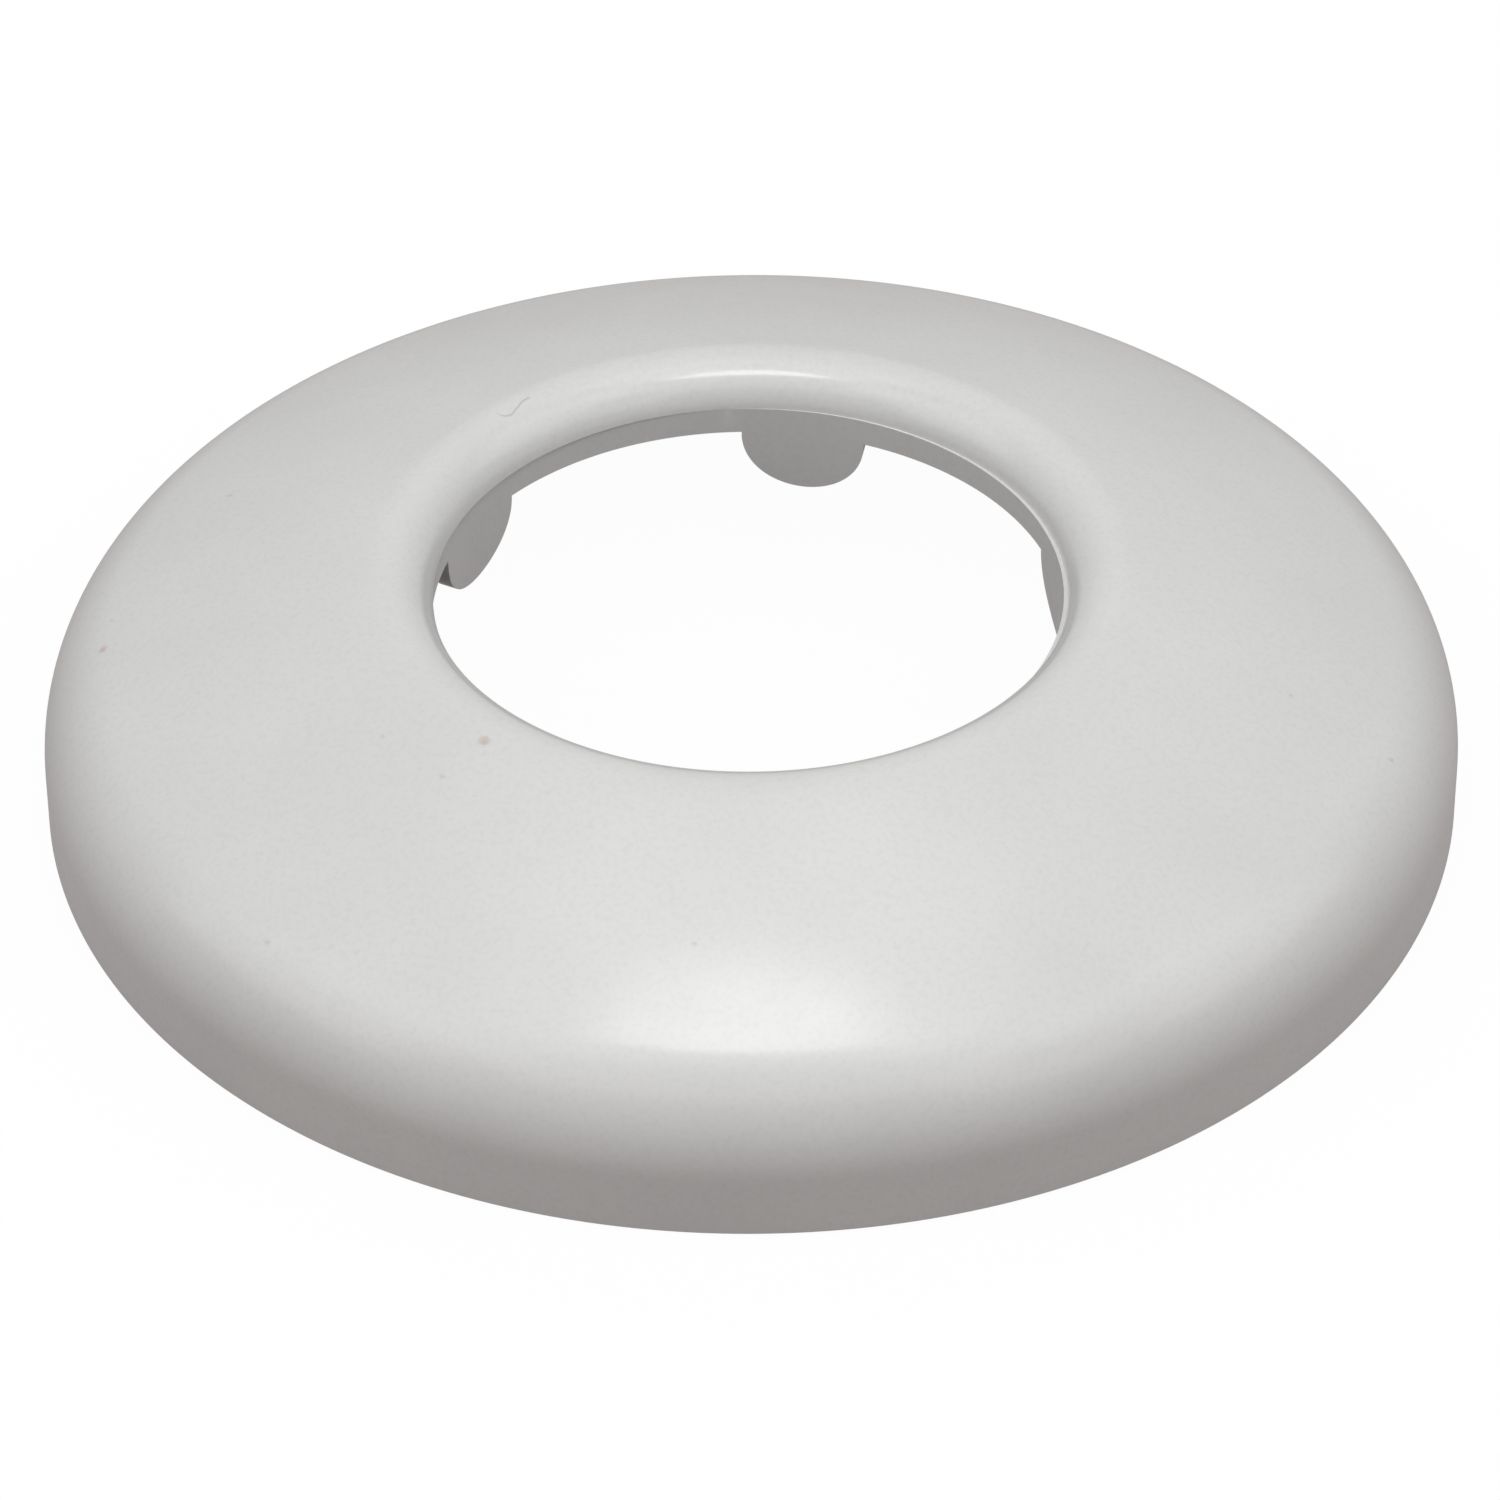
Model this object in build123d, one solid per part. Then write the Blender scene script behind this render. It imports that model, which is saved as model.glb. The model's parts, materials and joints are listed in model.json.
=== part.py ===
from build123d import *
import math
import os

# Pipe escutcheon: a one-piece moulded ring that slips over a pipe and covers the hole round it.
# The origin is the centre of the rim plane, +Z runs up the pipe's axis, and one tab stands on +Y.

# Driving dimensions, in millimetres and degrees
outer_diameter = 113.0  # across the foot of the rim
overall_height = 20.9  # rim plane to the crest of the lip
bore_diameter = 50.0  # inside of the collar, where the pipe goes
wall = 1.8  # wall of the moulding, at its thinnest
rim_height = 5.1  # plain band of the rim, below the shoulder
rim_draft = 0.5  # inward lean of the rim
shoulder_radius = 9.2  # round from the rim to the dome
crown_radius = 140.0  # slow crown of the dome
lip_radius = 4.0  # roll of the dome into the bore
lip_release = 10.0  # angle short of upright at which the roll stops
parting_ledge = 0.06  # mean width of the step that the mould's parting line leaves in the bore
core_shift = 0.25  # the bore stands this far towards -X: the step is a ledge on +X and turns over on -X
collar_height = 2.3  # unbroken wall of the collar, below the parting ledge
tab_count = 5  # gripping tabs, evenly spaced round the collar
tab_width = 10.2  # across a tab, which is also the diameter of its round end
tab_reach = 5.3  # lower edge of the collar to the tip of a tab
tab_draft = 1.0  # outward lean of the tabs' gripping faces, for release from the mould
foot_break = 0.3  # chamfer on the outer edge of the rim's foot
cut_past = 1.0  # how far a cut runs past the wall that it cuts

# Radii and heights that follow from them
outer_radius = outer_diameter / 2
bore_radius = bore_diameter / 2
draft = math.radians(rim_draft)
release = math.radians(lip_release)
tab_flare = math.tan(math.radians(tab_draft))
parting_height = overall_height - lip_radius * (1 - math.sin(release))
collar_foot = parting_height - collar_height
tab_tip = collar_foot - tab_reach
tab_centre = tab_tip + tab_width / 2

# Centres of the shoulder and of the lip, as radius and height
rim_normal = Vector(math.cos(draft), math.sin(draft))
rim_top = Vector(outer_radius - rim_height * math.tan(draft), rim_height)
shoulder_centre = rim_top - rim_normal * shoulder_radius
lip_throat = bore_radius + parting_ledge
lip_centre = Vector(lip_throat + lip_radius * math.cos(release), overall_height - lip_radius)
collar_radius = lip_centre.X - lip_radius + wall


def heading(start, end):
    """Direction from one point to another, in degrees."""
    return math.degrees(math.atan2(end.Y - start.Y, end.X - start.X))


def enclosing_centre(first, first_radius, second, second_radius, radius):
    """Centre of the large circle that touches two smaller ones from outside, over their tops."""
    first_reach = radius - first_radius
    second_reach = radius - second_radius
    span = second - first
    along = (first_reach**2 - second_reach**2 + span.length**2) / (2 * span.length)
    across = math.sqrt(first_reach**2 - along**2)
    forward = span.normalized()
    below = Vector(-forward.Y, forward.X)
    return first + forward * along + below * across


crown_centre = enclosing_centre(shoulder_centre, shoulder_radius, lip_centre, lip_radius, crown_radius)
crown_start = heading(crown_centre, shoulder_centre)
crown_end = heading(crown_centre, lip_centre)


def skin(depth, lip_end):
    """One face of the wall, from the top of the rim over the dome to the end of the lip."""
    shoulder = CenterArc(shoulder_centre, shoulder_radius - depth, rim_draft, crown_start - rim_draft)
    crown = CenterArc(crown_centre, crown_radius - depth, crown_start, crown_end - crown_start)
    lip = CenterArc(lip_centre, lip_radius - depth, crown_end, lip_end - crown_end)
    return [shoulder, crown, lip]


def moulded_ring():
    """The whole ring with an unbroken skirt under the collar and stock left in the bore."""
    outside = skin(0, 180 - lip_release)
    shoulder, crown, lip = skin(wall, 180)
    stock_radius = bore_radius - core_shift - cut_past
    throat = Polyline(
        outside[-1] @ 1,
        (stock_radius, parting_height),
        (stock_radius, tab_tip),
        (collar_radius, tab_tip),
        lip @ 1,
    )
    # the hidden face is turned in straight tapers, and the wall is nowhere thinner than stated
    tapers = Polyline(lip @ 1, lip @ 0.5, crown @ 1, crown @ 0, shoulder @ 0.5, shoulder @ 0)
    foot = Polyline(
        shoulder @ 0,
        (outer_radius - wall / math.cos(draft), 0),
        (outer_radius - foot_break, 0),
        (outer_radius - foot_break * math.tan(draft), foot_break),
        outside[0] @ 0,
    )
    section = make_face([*outside, throat, tapers, foot])
    return revolve(Plane.XZ * section, Axis.Z)


def tab_blanks():
    """Round-ended prisms that keep the tabs when the rest of the skirt is cut away."""
    outline = Pos(0, tab_centre) * Circle(tab_width / 2)
    outline += Pos(0, tab_centre) * Rectangle(tab_width, tab_width, align=(Align.CENTER, Align.MIN))
    blank = extrude(Plane.XZ * outline, collar_radius + 2 * cut_past, dir=(0, 1, 0))
    return [spot * blank for spot in PolarLocations(0, tab_count)]


def gaps_between_tabs():
    """The part of the skirt that is cut away, up to the lower edge of the collar."""
    depth = tab_reach + cut_past
    skirt = Cylinder(collar_radius + cut_past, depth, align=(Align.CENTER, Align.CENTER, Align.MAX))
    return Pos(0, 0, collar_foot) * skirt - tab_blanks()


def bore_core():
    """The core that forms the tabs' gripping faces and the bore, up to the parting line."""
    below = tab_tip - cut_past
    outline = Polyline(
        (0, below),
        (bore_radius + (collar_foot - below) * tab_flare, below),
        (bore_radius, collar_foot),
        (bore_radius, parting_height),
        (0, parting_height),
        close=True,
    )
    return Pos(-core_shift, 0, 0) * revolve(Plane.XZ * make_face(outline), Axis.Z)


escutcheon = moulded_ring() - gaps_between_tabs() - bore_core()
os.makedirs("parts", exist_ok=True)
export_step(escutcheon, "parts/escutcheon.step")
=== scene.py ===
import json
import math

import bpy
from mathutils import Matrix, Vector


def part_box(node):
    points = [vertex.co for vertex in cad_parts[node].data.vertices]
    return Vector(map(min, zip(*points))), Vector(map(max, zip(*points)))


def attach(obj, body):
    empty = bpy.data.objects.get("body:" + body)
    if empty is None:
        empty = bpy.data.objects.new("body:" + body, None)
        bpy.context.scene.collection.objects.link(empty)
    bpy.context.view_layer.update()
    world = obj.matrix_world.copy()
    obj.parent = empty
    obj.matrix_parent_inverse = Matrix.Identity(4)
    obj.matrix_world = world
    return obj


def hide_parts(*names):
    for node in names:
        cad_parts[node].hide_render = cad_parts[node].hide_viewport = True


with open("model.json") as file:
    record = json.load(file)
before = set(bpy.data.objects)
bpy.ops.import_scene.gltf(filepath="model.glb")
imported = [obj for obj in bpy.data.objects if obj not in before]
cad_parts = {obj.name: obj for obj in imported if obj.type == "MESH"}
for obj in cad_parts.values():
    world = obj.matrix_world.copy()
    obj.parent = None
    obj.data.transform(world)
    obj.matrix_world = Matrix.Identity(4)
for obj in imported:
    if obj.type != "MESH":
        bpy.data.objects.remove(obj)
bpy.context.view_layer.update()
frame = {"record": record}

MM = 0.001

# Sizes of the moulding that the frame gives, in metres
bore_mount = next(m for m in frame["record"]["mounts"] if m["name"] == "pipe_bore")
node_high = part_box("escutcheon")[1]
overall_height = node_high.z
bore_radius = bore_mount["dims"]["r_mm"] * MM
collar_height = bore_mount["dims"]["length_mm"] * MM
core_shift = -bore_mount["pos_m"][0]

# Sizes that are drawn, in metres and radians
wall = 1.8 * MM
rim_height = 5.1 * MM
rim_draft = math.radians(0.5)
shoulder_radius = 9.2 * MM
crown_radius = 140.0 * MM
lip_radius = 4.0 * MM
lip_release = math.radians(10.0)
parting_ledge = 0.06 * MM
tab_count = 5
tab_width = 10.2 * MM
tab_reach = 5.3 * MM
tab_draft = math.radians(1.0)
foot_break = 0.3 * MM
cut_past = 1.0 * MM

# Limits of the mesh: how near points merge, how short an edge goes, and how sharp an edge shows
merge_gap = 0.001 * MM
sliver = 0.003 * MM
sharp_angle = math.radians(25)

# Steps of the curves: round the pipe, along the outside, along the hidden face, and round a tab
turns = 320
shoulder_steps = 22
crown_steps = 18
lip_steps = 30
hidden_shoulder_steps = 11
hidden_crown_steps = 9
hidden_lip_steps = 10
tab_sides = 128

# The photograph's camera, in degrees, metres and pixels of the photograph, with the sensor in millimetres
view_azimuth = 10.27
view_elevation = 37.7767
view_roll = 0.3476
view_distance = 508.5 * MM
view_target = Vector((-0.107 * MM, 0, 1.548 * MM))
photo_focal = 6311.6
photo_width = 1500
sensor_width = 36.0
nearest_seen = 0.01

# Colours of the plastic and of what lies on it
plastic_pale = (0.805, 0.805, 0.792, 1)
plastic_deep = (0.775, 0.775, 0.765, 1)
grain_grey = (0.62, 0.62, 0.61, 1)
fibre_grey = (0.60, 0.60, 0.58, 1)
dirt_brown = (0.65, 0.57, 0.52, 1)
dirt_red = (0.67, 0.57, 0.55, 1)
dirt_grey = (0.66, 0.66, 0.65, 1)
dirt_faint = (0.67, 0.67, 0.65, 1)

# The finish: refraction, the dome's roughness from low to high, the lip's share of it, and where that ends
plastic_ior = 1.5
dome_roughness = (0.19, 0.24)
lip_share = 0.75
polish_edge = (bore_radius + 5.0 * MM, bore_radius + 8.0 * MM)

# Noise in the plastic: size of its blots, the stretch of the noise that is used, and what it is used for
noise_detail = 2
cloud_size = 14 * MM
cloud_stretch = (0.3, 0.7)
grain_size = 0.45 * MM
grain_stretch = (0.45, 0.75)
grain_share = 0.22
satin_size = 5 * MM
satin_stretch = (0.3, 0.7)
pebble_size = 0.7 * MM
pebble_depth = 0.05 * MM
pebble_strength = 0.06

# The table and the room: what they send at the ring, how white they look, and how much of that gloss shows
pure_white = (1, 1, 1, 1)
table_radius = 1.2
table_sides = 96
table_bounce = (0.258, 0.208, 0.203, 1)
table_white = (0.90, 0.90, 0.90, 1)
table_glow = 0.97
table_gap = 0.05 * MM
shadow_edge = (60 * MM, 80 * MM)
room_light = 0.247
background_in_gloss = 0.3

# Lamps: shape, direction in the camera's frame, distance, width and height in metres, and power in watts
lamps = [
    ("key_softbox", "ELLIPSE", (-0.009, -0.163, 1), 0.228, 0.097, 0.043, 0.0608),
    ("ceiling_softbox", "RECTANGLE", (0, 0.02, 1), 1.0, 0.7, 0.7, 1.45),
    ("front_softbox", "RECTANGLE", (0, -0.5, 1), 1.1, 1.4, 1.0, 2.97),
    ("left_softbox", "RECTANGLE", (-1, -0.2, 0.85), 1.2, 0.9, 0.9, 2.55),
    ("right_softbox", "RECTANGLE", (1, -0.1, 0.9), 1.2, 0.9, 0.9, 2.39),
    ("window", "RECTANGLE", (0.62, -0.63, 0.47), 1.0, 0.42, 0.30, 0.28),
]

# Grains of dirt on the skin: place and radius in millimetres, and colour
specks = [
    ("brown_speck", (-15.8, -26.5, 20.6), 0.62, dirt_brown),
    ("red_speck", (-50.2, -10.7, 13.2), 0.52, dirt_red),
    ("left_speck", (-44.3, 7.8, 15.9), 0.30, dirt_grey),
    ("right_speck", (51.7, -7.2, 12.8), 0.34, dirt_grey),
    ("front_speck", (3.4, -42.9, 16.7), 0.28, dirt_grey),
    ("dome_speck", (-23.9, -25.6, 19.4), 0.28, dirt_faint),
    ("shoulder_speck", (-29.0, -43.4, 12.8), 0.32, dirt_faint),
    ("lip_speck", (-18.4, -29.8, 19.4), 0.28, dirt_faint),
    ("small_speck", (43.4, -5.0, 16.4), 0.22, dirt_faint),
    ("pale_speck", (-50.4, -7.1, 13.4), 0.24, dirt_faint),
]

# The edge of a grain: where it fades, in radii, and how noise makes it ragged
speck_edge = (0.1, 1.2)
ragged_size = 0.35 * MM
ragged_stretch = (0.25, 0.75)
ragged_reach = (0.6, 1.4)

# The fibre on the lip: its middle, half length, edge, fading ends and lowest level, and its turn and bends
fibre_middle = (-22.63 * MM, 17.27 * MM)
fibre_half = 1.8 * MM
fibre_edge = (0.04 * MM, 0.13 * MM)
fibre_end = 0.2 * MM
fibre_level = (overall_height - 1.2 * MM, overall_height - 0.9 * MM)
fibre_turn = math.radians(49.7)
fibre_bends = [(0.0, 0.5), (0.08, 0.36), (0.23, 0.29), (0.5, 0.38), (0.8, 0.5), (1.0, 0.5)]


def deselect_all():
    """Leaves object mode with nothing selected."""
    if bpy.context.mode != "OBJECT":
        bpy.ops.object.mode_set(mode="OBJECT")
    bpy.ops.object.select_all(action="DESELECT")


def pick(piece):
    """Makes one object the only selected one."""
    deselect_all()
    piece.hide_set(False)
    piece.select_set(True)
    bpy.context.view_layer.objects.active = piece


def settle(piece, name):
    """Names an object and puts its place into its mesh."""
    piece.name = name
    piece.data.name = name
    pick(piece)
    bpy.ops.object.transform_apply(location=True, rotation=True, scale=True)
    return piece


def select_points(piece, test):
    """In edit mode, selects the points whose place passes the test."""
    bpy.ops.mesh.select_all(action="DESELECT")
    bpy.ops.object.mode_set(mode="OBJECT")
    for point in piece.data.vertices:
        point.select = test(point.co)
    bpy.ops.object.mode_set(mode="EDIT")


def heading(start, end):
    """Direction from one point of the outline to another, in radians from outwards towards up."""
    return math.atan2(end.y - start.y, end.x - start.x)


def enclosing_centre(first, first_radius, second, second_radius, radius):
    """Centre of the large circle that touches two smaller ones from outside, over their tops."""
    first_reach = radius - first_radius
    second_reach = radius - second_radius
    span = second - first
    along = (first_reach**2 - second_reach**2 + span.length**2) / (2 * span.length)
    across = math.sqrt(first_reach**2 - along**2)
    forward = span.normalized()
    below = Vector((-forward.y, forward.x))
    return first + forward * along + below * across


class Outline:
    """The ring's outline in the XZ plane, drawn point by point from the foot of the rim."""

    def __init__(self, start):
        deselect_all()
        bpy.ops.mesh.primitive_plane_add(size=wall, location=(start.x, 0, start.y))
        self.piece = settle(bpy.context.object, "cover_ring")
        bpy.ops.object.mode_set(mode="EDIT")
        bpy.ops.mesh.merge(type="CENTER")
        self.at = start.copy()

    def line(self, end):
        """A straight run to a point."""
        step = end - self.at
        bpy.ops.mesh.extrude_vertices_move(TRANSFORM_OT_translate={"value": (step.x, 0, step.y)})
        self.at = end.copy()

    def arc(self, centre, end_angle, steps):
        """An arc about a centre, round to a heading."""
        start_angle = heading(centre, self.at)
        radius = (self.at - centre).length
        bpy.ops.mesh.spin(
            steps=steps, angle=end_angle - start_angle, center=(centre.x, 0, centre.y), axis=(0, 1, 0)
        )
        self.at = centre + Vector((math.cos(end_angle), math.sin(end_angle))) * radius


def ring_with_skirt():
    """The whole ring, turned from its outline, with an unbroken skirt below the collar."""
    outer_radius = node_high.x + foot_break * math.tan(rim_draft)
    parting_height = overall_height - lip_radius * (1 - math.sin(lip_release))
    collar_foot = parting_height - collar_height
    tab_tip = collar_foot - tab_reach
    rim_normal = Vector((math.cos(rim_draft), math.sin(rim_draft)))
    rim_top = Vector((outer_radius - rim_height * math.tan(rim_draft), rim_height))
    shoulder_centre = rim_top - rim_normal * shoulder_radius
    lip_throat = bore_radius + parting_ledge
    lip_centre = Vector((lip_throat + lip_radius * math.cos(lip_release), overall_height - lip_radius))
    collar_radius = lip_centre.x - lip_radius + wall
    crown_centre = enclosing_centre(shoulder_centre, shoulder_radius, lip_centre, lip_radius, crown_radius)
    crown_start = heading(crown_centre, shoulder_centre)
    crown_end = heading(crown_centre, lip_centre)

    foot = Vector((outer_radius - wall / math.cos(rim_draft), 0))
    outline = Outline(foot)
    outline.line(Vector((outer_radius - foot_break, 0)))
    outline.line(Vector((outer_radius - foot_break * math.tan(rim_draft), foot_break)))
    outline.line(rim_top)
    outline.arc(shoulder_centre, crown_start, shoulder_steps)
    outline.arc(crown_centre, crown_end, crown_steps)
    outline.arc(lip_centre, math.pi - lip_release, lip_steps)
    outline.line(Vector((bore_radius, parting_height)))
    outline.line(Vector((bore_radius, collar_foot)))
    outline.line(Vector((bore_radius + tab_reach * math.tan(tab_draft), tab_tip)))
    outline.line(Vector((collar_radius, tab_tip)))
    outline.line(Vector((collar_radius, lip_centre.y)))
    outline.arc(lip_centre, crown_end, hidden_lip_steps)
    outline.arc(crown_centre, crown_start, hidden_crown_steps)
    outline.arc(shoulder_centre, rim_draft, hidden_shoulder_steps)
    outline.line(foot)

    ring = outline.piece
    bpy.ops.mesh.select_all(action="SELECT")
    bpy.ops.mesh.remove_doubles(threshold=merge_gap)
    bpy.ops.mesh.spin(steps=turns, angle=2 * math.pi, center=(0, 0, 0), axis=(0, 0, 1))
    bpy.ops.mesh.select_all(action="SELECT")
    bpy.ops.mesh.remove_doubles(threshold=merge_gap)
    bpy.ops.mesh.normals_make_consistent(inside=False)

    # the core that forms the bore stands a little to one side, so the parting line is a ledge on the other
    mouth = bore_radius + parting_ledge / 2
    skirt_middle = bore_radius + wall / 2
    select_points(ring, lambda co: co.xy.length < (skirt_middle if co.z < collar_foot else mouth))
    bpy.ops.transform.translate(value=(-core_shift, 0, 0))
    bpy.ops.object.mode_set(mode="OBJECT")
    return ring, collar_foot, tab_tip, collar_radius


def cut_away(piece, tool):
    """Takes a tool's volume out of a piece and deletes the tool."""
    cut = piece.modifiers.new("cut", "BOOLEAN")
    cut.operation = "DIFFERENCE"
    cut.solver = "EXACT"
    cut.object = tool
    pick(piece)
    bpy.ops.object.modifier_apply(modifier=cut.name)
    bpy.data.objects.remove(tool, do_unlink=True)


def gaps_between_tabs(collar_foot, tab_tip, collar_radius):
    """The part of the skirt that is cut away: a disc under the collar, less a round for each tab."""
    deselect_all()
    depth = tab_reach + cut_past
    bpy.ops.mesh.primitive_cylinder_add(
        vertices=turns,
        radius=collar_radius + cut_past,
        depth=depth,
        location=(0, 0, collar_foot - depth / 2),
    )
    gaps = settle(bpy.context.object, "gaps_between_tabs")
    tab_length = 2 * (collar_radius - bore_radius) + 4 * cut_past
    for tab in range(tab_count):
        turn = 2 * math.pi * tab / tab_count
        deselect_all()
        bpy.ops.mesh.primitive_cylinder_add(
            vertices=tab_sides,
            radius=tab_width / 2,
            depth=tab_length,
            location=Matrix.Rotation(turn, 3, "Z") @ Vector((0, collar_radius, tab_tip + tab_width / 2)),
            rotation=(math.radians(90), 0, turn),
        )
        cut_away(gaps, settle(bpy.context.object, "tab_round"))
    return gaps


def make_cover_ring():
    """The cover ring in one piece: rim, shoulder, crown, lip, parting ledge, collar and tabs."""
    ring, collar_foot, tab_tip, collar_radius = ring_with_skirt()
    cut_away(ring, gaps_between_tabs(collar_foot, tab_tip, collar_radius))
    pick(ring)
    # the cut leaves slivers where a tab's round just touches the foot of the skirt
    bpy.ops.object.mode_set(mode="EDIT")
    bpy.ops.mesh.select_all(action="SELECT")
    bpy.ops.mesh.dissolve_degenerate(threshold=sliver)
    bpy.ops.object.mode_set(mode="OBJECT")
    bpy.ops.object.shade_smooth_by_angle(angle=sharp_angle)
    return ring


def add_node(tree, kind, label, **settings):
    """Adds a node with a label, and sets its choices."""
    node = tree.nodes.new(kind)
    node.name = node.label = label
    for key, value in settings.items():
        setattr(node, key, value)
    return node


def noise(tree, label, coordinates, size):
    """Soft noise whose blots are about one size across, in metres."""
    node = add_node(tree, "ShaderNodeTexNoise", label)
    node.inputs["Scale"].default_value = 1 / size
    node.inputs["Detail"].default_value = noise_detail
    tree.links.new(coordinates, node.inputs["Vector"])
    return node.outputs["Fac"]


def spread(tree, label, value, low, high, from_low=0.0, from_high=1.0, smooth=False):
    """Carries a value from one range to another, held at the ends."""
    node = add_node(tree, "ShaderNodeMapRange", label)
    node.interpolation_type = "SMOOTHSTEP" if smooth else "LINEAR"
    node.inputs["From Min"].default_value = from_low
    node.inputs["From Max"].default_value = from_high
    node.inputs["To Min"].default_value = low
    node.inputs["To Max"].default_value = high
    tree.links.new(value, node.inputs["Value"])
    return node.outputs["Result"]


def tint(tree, label, share, base, colour):
    """Lays a colour over another by a mask."""
    node = add_node(tree, "ShaderNodeMix", label, data_type="RGBA", blend_type="MIX")
    tree.links.new(share, node.inputs["Factor"])
    if isinstance(base, tuple):
        node.inputs["A"].default_value = base
    else:
        tree.links.new(base, node.inputs["A"])
    node.inputs["B"].default_value = colour
    return node.outputs["Result"]


def combine(tree, label, operation, first, second):
    """Joins two values; the second is a socket or a number."""
    node = add_node(tree, "ShaderNodeMath", label, operation=operation)
    tree.links.new(first, node.inputs[0])
    if isinstance(second, float):
        node.inputs[1].default_value = second
    else:
        tree.links.new(second, node.inputs[1])
    return node.outputs[0]


def speck_group():
    """A grain of dirt with a soft ragged edge: how far a point lies inside it, from 0 to 1."""
    tree = bpy.data.node_groups.new("speck", "ShaderNodeTree")
    for name, kind in (("Place", "Vector"), ("Middle", "Vector"), ("Radius", "Float"), ("Ragged", "Float")):
        tree.interface.new_socket(name, in_out="INPUT", socket_type="NodeSocket" + kind)
    tree.interface.new_socket("Mask", in_out="OUTPUT", socket_type="NodeSocketFloat")
    entry = add_node(tree, "NodeGroupInput", "entry")
    leave = add_node(tree, "NodeGroupOutput", "leave")
    away = add_node(tree, "ShaderNodeVectorMath", "away", operation="DISTANCE")
    tree.links.new(entry.outputs["Place"], away.inputs[0])
    tree.links.new(entry.outputs["Middle"], away.inputs[1])
    reach = combine(tree, "reach", "MULTIPLY", entry.outputs["Radius"], entry.outputs["Ragged"])
    share = combine(tree, "share", "DIVIDE", away.outputs["Value"], reach)
    inside = spread(tree, "inside", share, 1.0, 0.0, *speck_edge, smooth=True)
    tree.links.new(inside, leave.inputs["Mask"])
    return tree


def fibre_mask(tree, place):
    """A short curled fibre that lies on the crest of the lip, drawn across the plane of the rim."""
    laid = add_node(tree, "ShaderNodeMapping", "fibre_place", vector_type="TEXTURE")
    laid.inputs["Location"].default_value = (*fibre_middle, 0)
    laid.inputs["Rotation"].default_value = (0, 0, fibre_turn)
    tree.links.new(place, laid.inputs["Vector"])
    parts = add_node(tree, "ShaderNodeSeparateXYZ", "fibre_parts")
    tree.links.new(laid.outputs["Vector"], parts.inputs["Vector"])
    along = spread(tree, "fibre_along", parts.outputs["X"], 0.0, 1.0, -fibre_half, fibre_half)
    curl = add_node(tree, "ShaderNodeFloatCurve", "fibre_curl")
    line = curl.mapping.curves[0]
    line.points[0].location = fibre_bends[0]
    line.points[1].location = fibre_bends[-1]
    for bend in fibre_bends[1:-1]:
        line.points.new(*bend)
    curl.mapping.update()
    tree.links.new(along, curl.inputs["Value"])
    middle = spread(tree, "fibre_line", curl.outputs["Value"], -fibre_half, fibre_half)
    aside = combine(tree, "fibre_aside", "SUBTRACT", parts.outputs["Y"], middle)
    mirror = combine(tree, "fibre_mirror", "MULTIPLY", aside, -1.0)
    gap = combine(tree, "fibre_gap", "MAXIMUM", aside, mirror)
    thread = spread(tree, "fibre_thread", gap, 1.0, 0.0, *fibre_edge, smooth=True)
    # the thread ends where its length does, and lies only on the upper side of the lip
    inner = fibre_half - fibre_end
    ahead = spread(tree, "fibre_ahead", parts.outputs["X"], 1.0, 0.0, inner, fibre_half)
    behind = spread(tree, "fibre_behind", parts.outputs["X"], 0.0, 1.0, -fibre_half, -inner)
    upper = spread(tree, "fibre_upper", parts.outputs["Z"], 0.0, 1.0, *fibre_level)
    length = combine(tree, "fibre_length", "MULTIPLY", ahead, behind)
    laid_on = combine(tree, "fibre_laid_on", "MULTIPLY", length, upper)
    return combine(tree, "fibre_mask", "MULTIPLY", thread, laid_on)


def cloudy_pigment(tree, place):
    """White pigment that is cloudy over centimetres and has a fine grain."""
    cloud = spread(tree, "cloud", noise(tree, "cloud_noise", place, cloud_size), 0.0, 1.0, *cloud_stretch)
    colour = tint(tree, "pigment", cloud, plastic_pale, plastic_deep)
    grain_noise = noise(tree, "grain_noise", place, grain_size)
    grain = spread(tree, "grain", grain_noise, 0.0, grain_share, *grain_stretch)
    return tint(tree, "pigment_grain", grain, colour, grain_grey)


def dirt_on_skin(tree, place, colour):
    """Lays the grains of dirt and the fibre over a colour."""
    group = speck_group()
    ragged_noise = noise(tree, "ragged_noise", place, ragged_size)
    ragged = spread(tree, "ragged", ragged_noise, *ragged_reach, *ragged_stretch)
    for label, middle, radius, shade in specks:
        speck = add_node(tree, "ShaderNodeGroup", label, node_tree=group)
        speck.inputs["Middle"].default_value = Vector(middle) * MM
        speck.inputs["Radius"].default_value = radius * MM
        tree.links.new(place, speck.inputs["Place"])
        tree.links.new(ragged, speck.inputs["Ragged"])
        colour = tint(tree, label + "_tint", speck.outputs["Mask"], colour, shade)
    return tint(tree, "fibre_tint", fibre_mask(tree, place), colour, fibre_grey)


def satin_finish(tree, place):
    """Roughness of the moulded skin: it wanders a little, and the lip is smoother than the dome."""
    satin_noise = noise(tree, "satin_noise", place, satin_size)
    satin = spread(tree, "satin", satin_noise, *dome_roughness, *satin_stretch)
    # how far a point lies from the pipe's axis
    level = add_node(tree, "ShaderNodeVectorMath", "level", operation="MULTIPLY")
    level.inputs[1].default_value = (1, 1, 0)
    tree.links.new(place, level.inputs[0])
    out = add_node(tree, "ShaderNodeVectorMath", "out_from_axis", operation="LENGTH")
    tree.links.new(level.outputs["Vector"], out.inputs[0])
    polish = spread(tree, "polish", out.outputs["Value"], lip_share, 1.0, *polish_edge, smooth=True)
    return combine(tree, "finish", "MULTIPLY", satin, polish)


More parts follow.
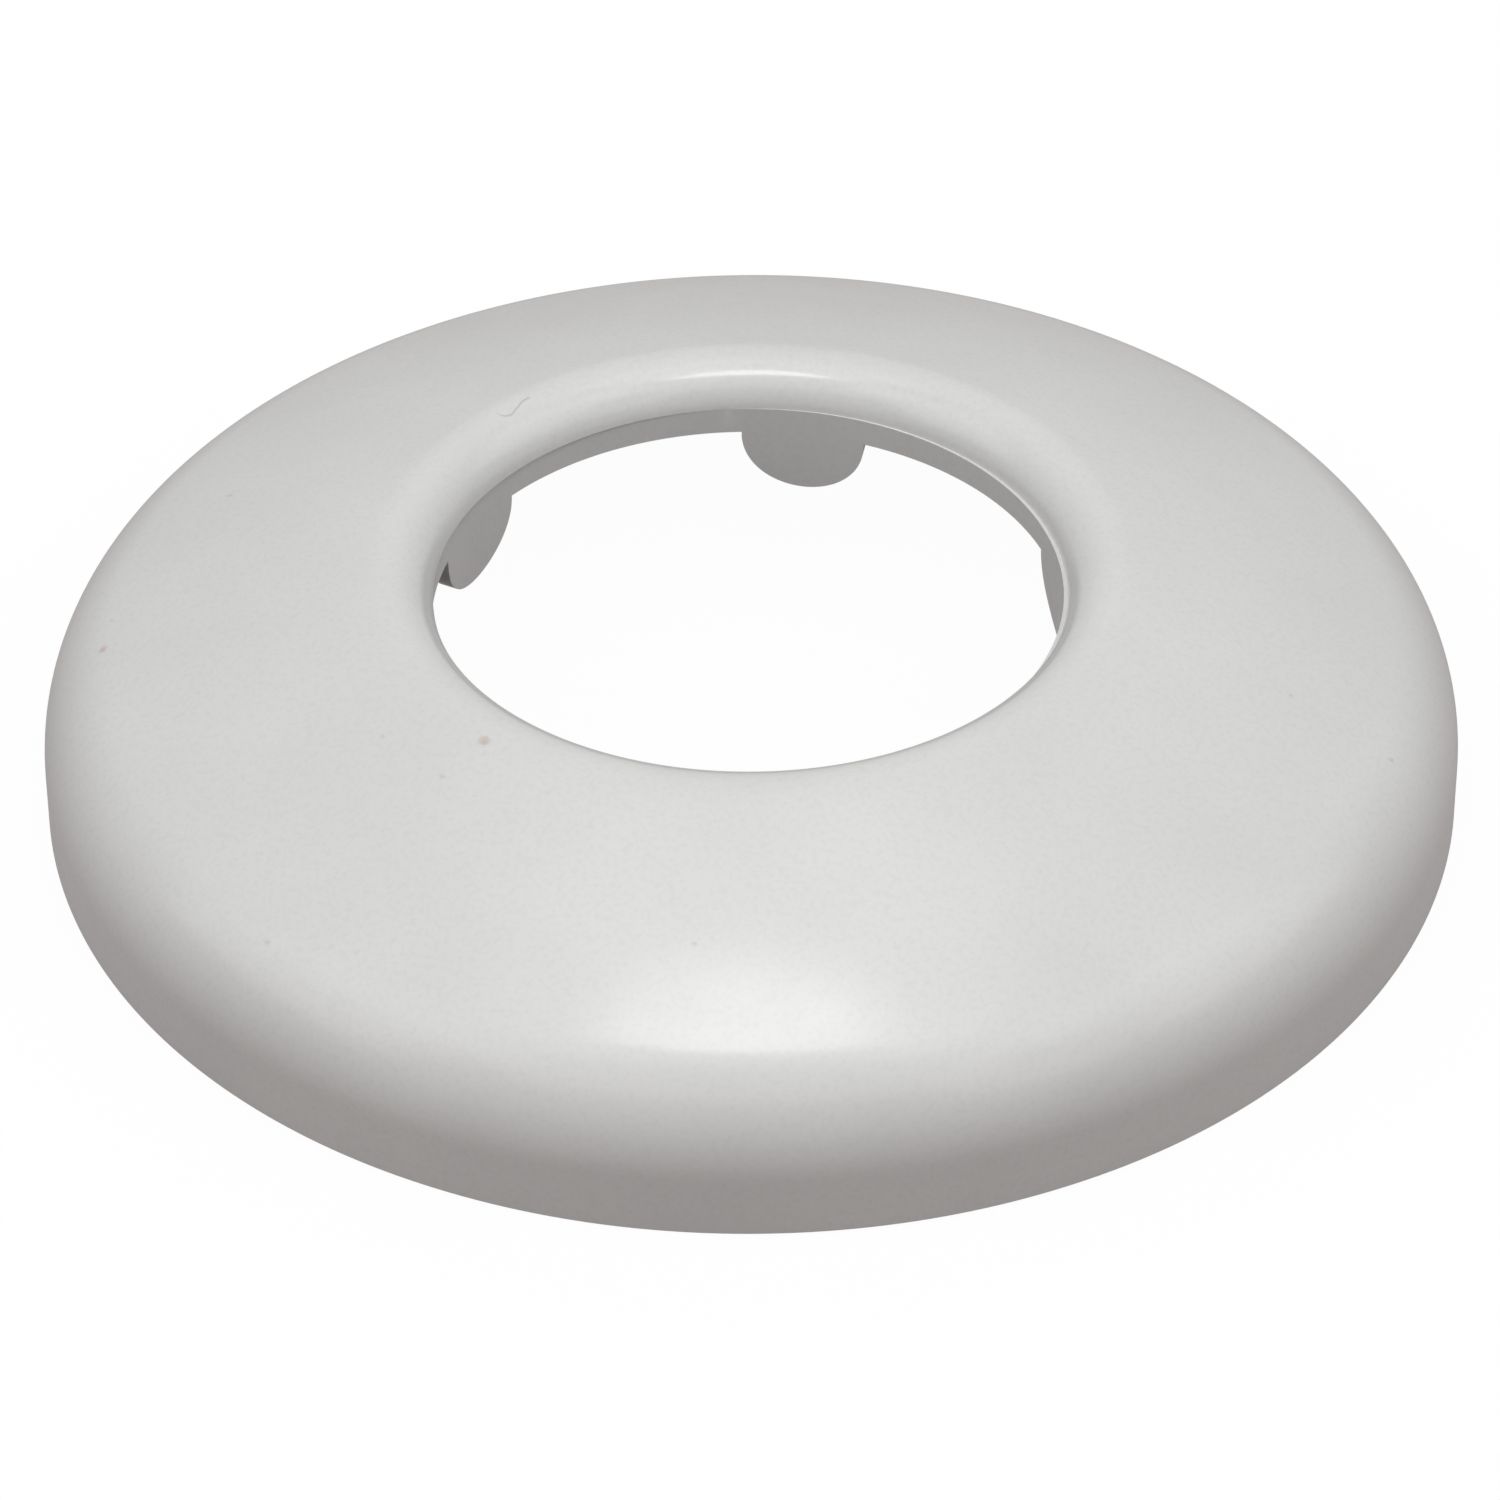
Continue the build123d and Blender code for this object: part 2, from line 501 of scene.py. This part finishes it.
def shallow_pebble(tree, place):
    """The very shallow pebble of the moulded skin."""
    bump = add_node(tree, "ShaderNodeBump", "pebble")
    bump.inputs["Strength"].default_value = pebble_strength
    bump.inputs["Distance"].default_value = pebble_depth
    tree.links.new(noise(tree, "pebble_noise", place, pebble_size), bump.inputs["Height"])
    return bump.outputs["Normal"]


def white_plastic():
    """Satin white moulded plastic, a little cloudy, with the dirt that lies on it."""
    material = bpy.data.materials.new("white_plastic")
    material.use_nodes = True
    tree = material.node_tree
    shader = tree.nodes["Principled BSDF"]
    shader.inputs["IOR"].default_value = plastic_ior
    place = add_node(tree, "ShaderNodeTexCoord", "place").outputs["Object"]
    colour = dirt_on_skin(tree, place, cloudy_pigment(tree, place))
    tree.links.new(colour, shader.inputs["Base Color"])
    tree.links.new(satin_finish(tree, place), shader.inputs["Roughness"])
    tree.links.new(shallow_pebble(tree, place), shader.inputs["Normal"])
    return material


def background_rays(tree):
    """How far a ray shows the white background: wholly straight or through glass, and in part off gloss."""
    path = add_node(tree, "ShaderNodeLightPath", "ray_kind")
    camera_ray = path.outputs["Is Camera Ray"]
    straight = combine(tree, "straight", "MAXIMUM", camera_ray, path.outputs["Is Transmission Ray"])
    off_gloss = combine(tree, "off_gloss", "MULTIPLY", path.outputs["Is Glossy Ray"], background_in_gloss)
    return combine(tree, "background_ray", "MAXIMUM", straight, off_gloss)


def mix_shaders(tree, label, share, first, second):
    """Mixes two shaders by a share that goes to the second."""
    node = add_node(tree, "ShaderNodeMixShader", label)
    tree.links.new(share, node.inputs[0])
    tree.links.new(first, node.inputs[1])
    tree.links.new(second, node.inputs[2])
    return node.outputs[0]


def table_top():
    """A pale surface that shows white, keeps a faint shadow near the ring and is clear from below."""
    material = bpy.data.materials.new("table_top")
    material.use_nodes = True
    tree = material.node_tree
    tree.nodes.remove(tree.nodes["Principled BSDF"])
    bounce = add_node(tree, "ShaderNodeBsdfDiffuse", "bounce")
    bounce.inputs["Color"].default_value = table_bounce
    matt = add_node(tree, "ShaderNodeBsdfDiffuse", "matt")
    matt.inputs["Color"].default_value = table_white
    glow = add_node(tree, "ShaderNodeEmission", "glow")
    glow.inputs["Color"].default_value = pure_white
    # the matt part, which takes the ring's shadow, dies out away from the ring
    away = add_node(tree, "ShaderNodeVectorMath", "away", operation="LENGTH")
    tree.links.new(add_node(tree, "ShaderNodeTexCoord", "place").outputs["Object"], away.inputs[0])
    distance = away.outputs["Value"]
    glow_share = spread(tree, "glow_share", distance, table_glow, 1.0, *shadow_edge, smooth=True)
    shown = mix_shaders(tree, "shown", glow_share, matt.outputs[0], glow.outputs[0])
    surface = mix_shaders(tree, "surface", background_rays(tree), bounce.outputs[0], shown)
    # from below it is clear, so that the ring's underside can be seen
    side = add_node(tree, "ShaderNodeNewGeometry", "side")
    clear = add_node(tree, "ShaderNodeBsdfTransparent", "clear")
    surface = mix_shaders(tree, "one_sided", side.outputs["Backfacing"], surface, clear.outputs[0])
    tree.links.new(surface, tree.nodes["Material Output"].inputs["Surface"])
    return material


def pale_table():
    """A plain round table top, just under the ring's foot."""
    deselect_all()
    bpy.ops.mesh.primitive_circle_add(
        vertices=table_sides, radius=table_radius, fill_type="NGON", location=(0, 0, -table_gap)
    )
    table = settle(bpy.context.object, "table")
    table.data.materials.append(table_top())


def studio_world():
    """White behind the table, and a dim even light from the room."""
    world = bpy.data.worlds.new("studio")
    bpy.context.scene.world = world
    world.use_nodes = True
    tree = world.node_tree
    room = tree.nodes["Background"]
    room.inputs["Color"].default_value = pure_white
    room.inputs["Strength"].default_value = room_light
    white = add_node(tree, "ShaderNodeBackground", "white")
    white.inputs["Color"].default_value = pure_white
    surface = mix_shaders(tree, "surface", background_rays(tree), room.outputs[0], white.outputs[0])
    tree.links.new(surface, tree.nodes["World Output"].inputs["Surface"])


def softbox(name, shape, direction, distance, width, height, power):
    """A soft lamp that faces the ring from a direction given in the camera's frame."""
    data = bpy.data.lights.new(name, "AREA")
    data.shape = shape
    data.size = width
    data.size_y = height
    data.energy = power
    lamp = bpy.data.objects.new(name, data)
    bpy.context.scene.collection.objects.link(lamp)
    towards = Matrix.Rotation(math.radians(view_azimuth), 3, "Z") @ Vector(direction).normalized()
    lamp.location = towards * distance
    lamp.rotation_mode = "QUATERNION"
    lamp.rotation_quaternion = (-towards).to_track_quat("-Z", "Y")


def photo_camera():
    """The camera at the photograph's place."""
    data = bpy.data.cameras.new("photo_camera")
    data.sensor_width = sensor_width
    data.lens = photo_focal / photo_width * sensor_width
    data.clip_start = nearest_seen
    camera = bpy.data.objects.new("photo_camera", data)
    bpy.context.scene.collection.objects.link(camera)
    camera.matrix_world = (
        Matrix.Rotation(math.radians(view_azimuth), 4, "Z")
        @ Matrix.Translation(view_target)
        @ Matrix.Rotation(math.radians(90 - view_elevation), 4, "X")
        @ Matrix.Translation((0, 0, view_distance))
        @ Matrix.Rotation(math.radians(-view_roll), 4, "Z")
    )
    bpy.context.scene.camera = camera


photo_camera()
cover_ring = make_cover_ring()
cover_ring.data.materials.clear()
cover_ring.data.materials.append(white_plastic())
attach(cover_ring, "root")
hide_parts("escutcheon")

pale_table()
studio_world()
for lamp in lamps:
    softbox(*lamp)

bpy.context.scene.view_settings.view_transform = "Standard"
